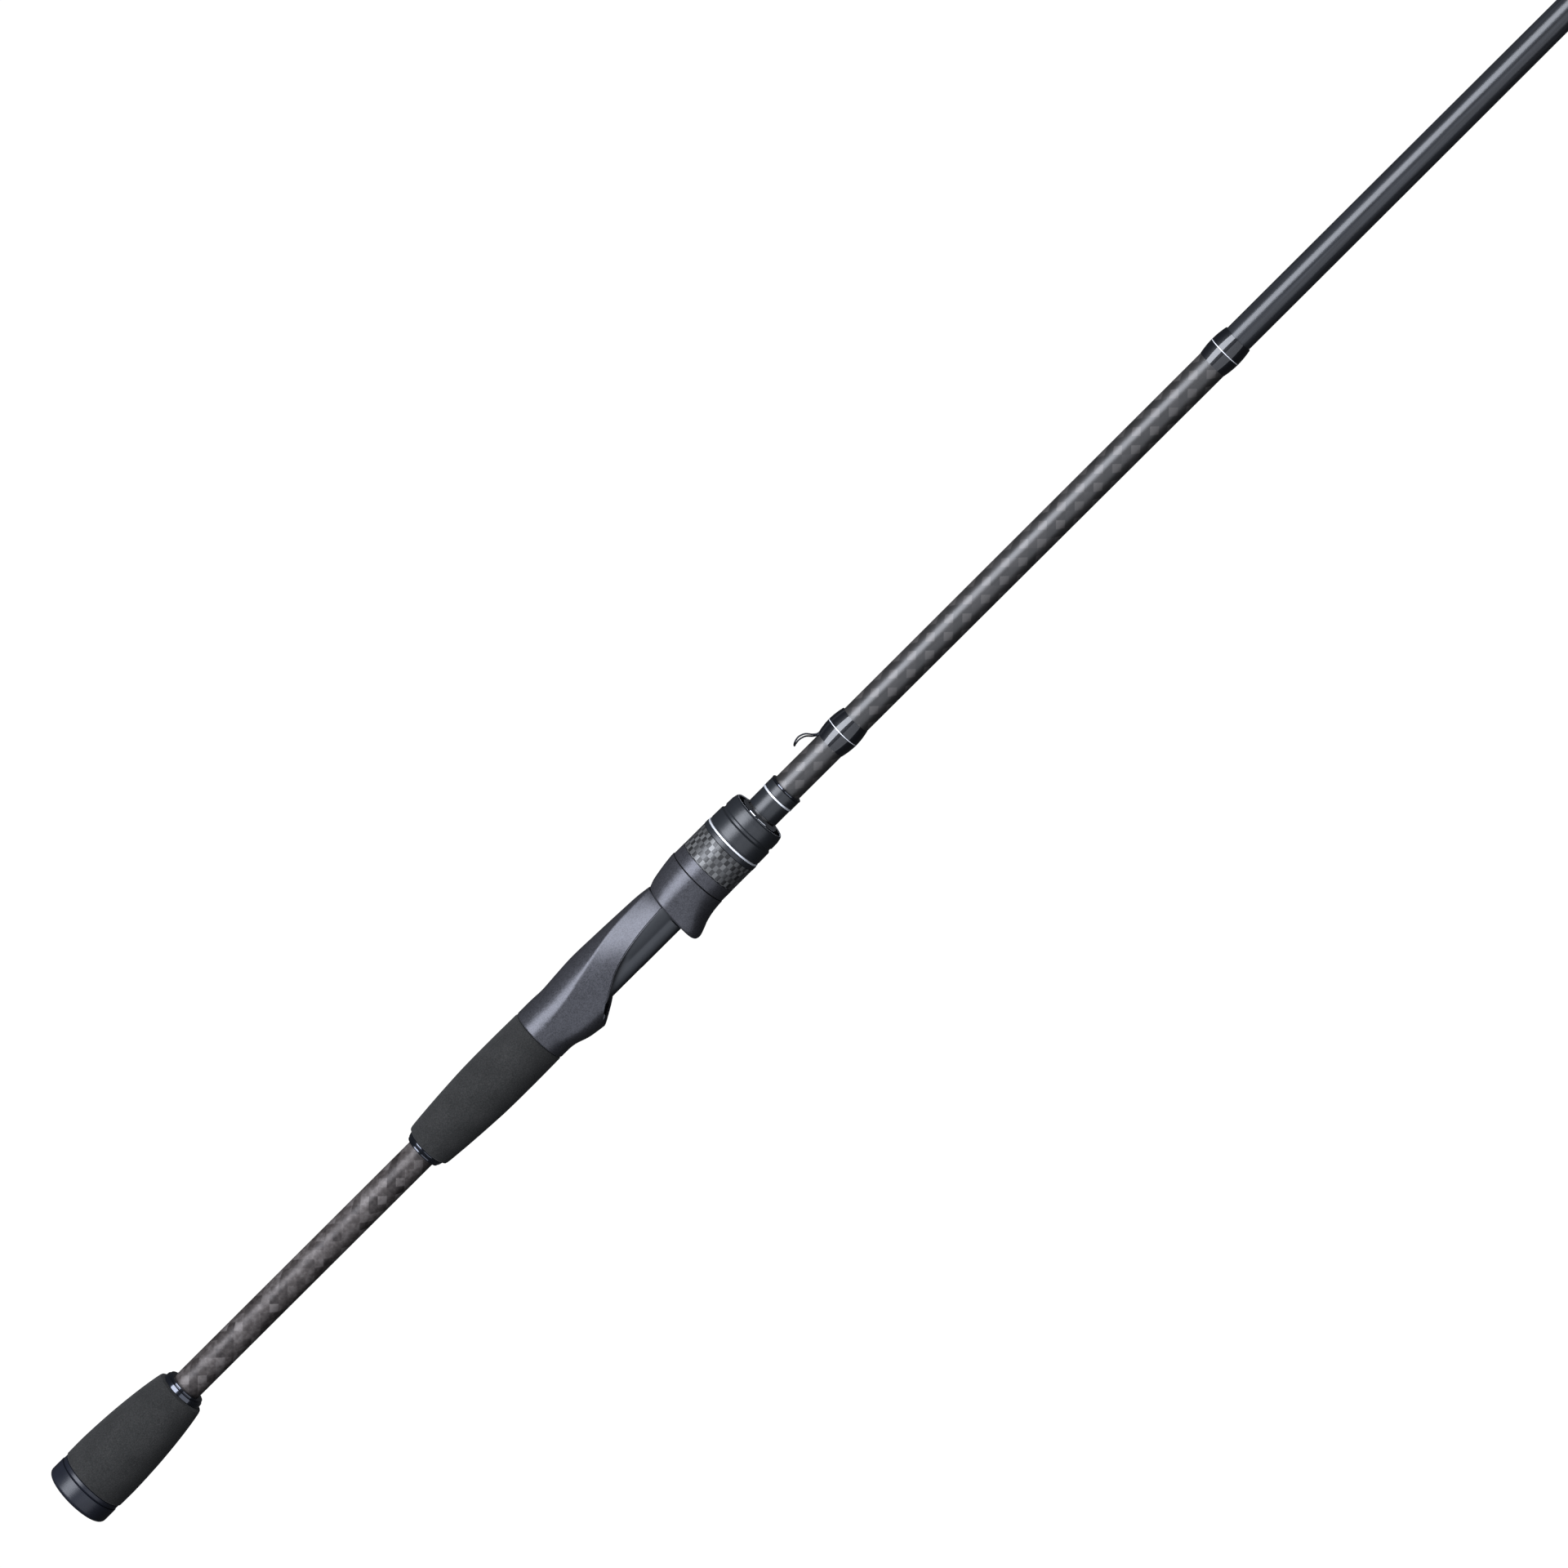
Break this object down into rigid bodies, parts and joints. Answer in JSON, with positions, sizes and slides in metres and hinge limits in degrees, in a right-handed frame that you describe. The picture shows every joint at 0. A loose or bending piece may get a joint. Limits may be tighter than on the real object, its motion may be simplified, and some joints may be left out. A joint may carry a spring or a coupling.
{
  "type": "spinning fishing rod",
  "caption": "One-piece spinning rod with split foam grips, an empty skeleton reel seat that clamps by a screw nut and sliding hood, line guides and tip-top.",
  "frame": {"origin": "centre of the butt cap's flat end face, on the axis of the blank", "axes": "+X along the blank from butt to tip, +Z to the side of the hook keeper, -Z to the side of the reel and the line guides, Y across the rod"},
  "size_m": [1.9802, 0.0284, 0.0592],
  "materials": {
    "navy_gloss": "gloss",
    "eva_foam": "matte",
    "carbon_weave": "satin",
    "blank_clear": "gloss",
    "seat_satin": "satin",
    "hood_liner": "satin",
    "arbor_nylon": "matte",
    "bright_trim": "polished",
    "gloss_black": "gloss",
    "trim_black": "satin",
    "metallic_thread": "satin",
    "epoxied_wrap": "gloss",
    "guide_steel": "satin",
    "guide_ceramic": "gloss"
  },
  "bodies": {
    "rod": {"barrel_end_ring": "bright_trim", "blank": "blank_clear", "butt_cap": "navy_gloss", "butt_cap_ring": "navy_gloss", "fixed_hood_liner": "hood_liner", "fore_carbon_sleeve": "carbon_weave", "fore_grip": "eva_foam", "fore_winding_check": "navy_gloss", "front_arbor": "arbor_nylon", "guide_1_frame": "guide_steel", "guide_1_ring": "guide_ceramic", "guide_1_wrap_front": "epoxied_wrap", "guide_1_wrap_rear": "epoxied_wrap", "guide_2_frame": "guide_steel", "guide_2_ring": "guide_ceramic", "guide_2_wrap_front": "epoxied_wrap", "guide_2_wrap_rear": "epoxied_wrap", "guide_3_frame": "guide_steel", "guide_3_ring": "guide_ceramic", "guide_3_wrap": "epoxied_wrap", "guide_4_frame": "guide_steel", "guide_4_ring": "guide_ceramic", "guide_4_wrap": "epoxied_wrap", "guide_5_frame": "guide_steel", "guide_5_ring": "guide_ceramic", "guide_5_wrap": "epoxied_wrap", "guide_6_frame": "guide_steel", "guide_6_ring": "guide_ceramic", "guide_6_wrap": "epoxied_wrap", "guide_7_frame": "guide_steel", "guide_7_ring": "guide_ceramic", "guide_7_wrap": "epoxied_wrap", "hook_keeper": "guide_steel", "keeper_wrap": "epoxied_wrap", "keeper_wrap_band": "metallic_thread", "rear_arbor": "arbor_nylon", "rear_carbon_sleeve": "carbon_weave", "rear_grip": "eva_foam", "rear_winding_check": "navy_gloss", "reel_seat_body": "seat_satin", "tip_top_frame": "guide_steel", "tip_top_ring": "guide_ceramic", "tip_top_wrap": "epoxied_wrap", "trim_collar": "trim_black", "trim_front_ring": "navy_gloss", "trim_silver_ring": "bright_trim", "trim_sleeve": "trim_black", "upper_wrap": "epoxied_wrap", "upper_wrap_band": "metallic_thread"},
    "hood": {"moving_hood": "seat_satin", "moving_hood_liner": "hood_liner", "hood_clip_ring": "bright_trim"},
    "nut": {"lock_nut": "gloss_black", "nut_collar": "seat_satin", "nut_carbon_band": "carbon_weave", "nut_black_ring": "gloss_black", "nut_silver_ring": "bright_trim"}
  },
  "joints": [
    {"name": "hood_travel", "type": "slide", "parent": "rod", "child": "hood", "axis": [1, 0, 0], "range_m": [0, 0.014]},
    {"name": "nut_turn", "type": "hinge", "parent": "hood", "child": "nut", "pos_m": [0.354, 0, 0], "axis": [1, 0, 0], "range_deg": [0, 2880]}
  ],
  "couplings": [
    {"joint": "nut_turn", "follows": "hood_travel", "rad_per_m": 3590.4}
  ]
}
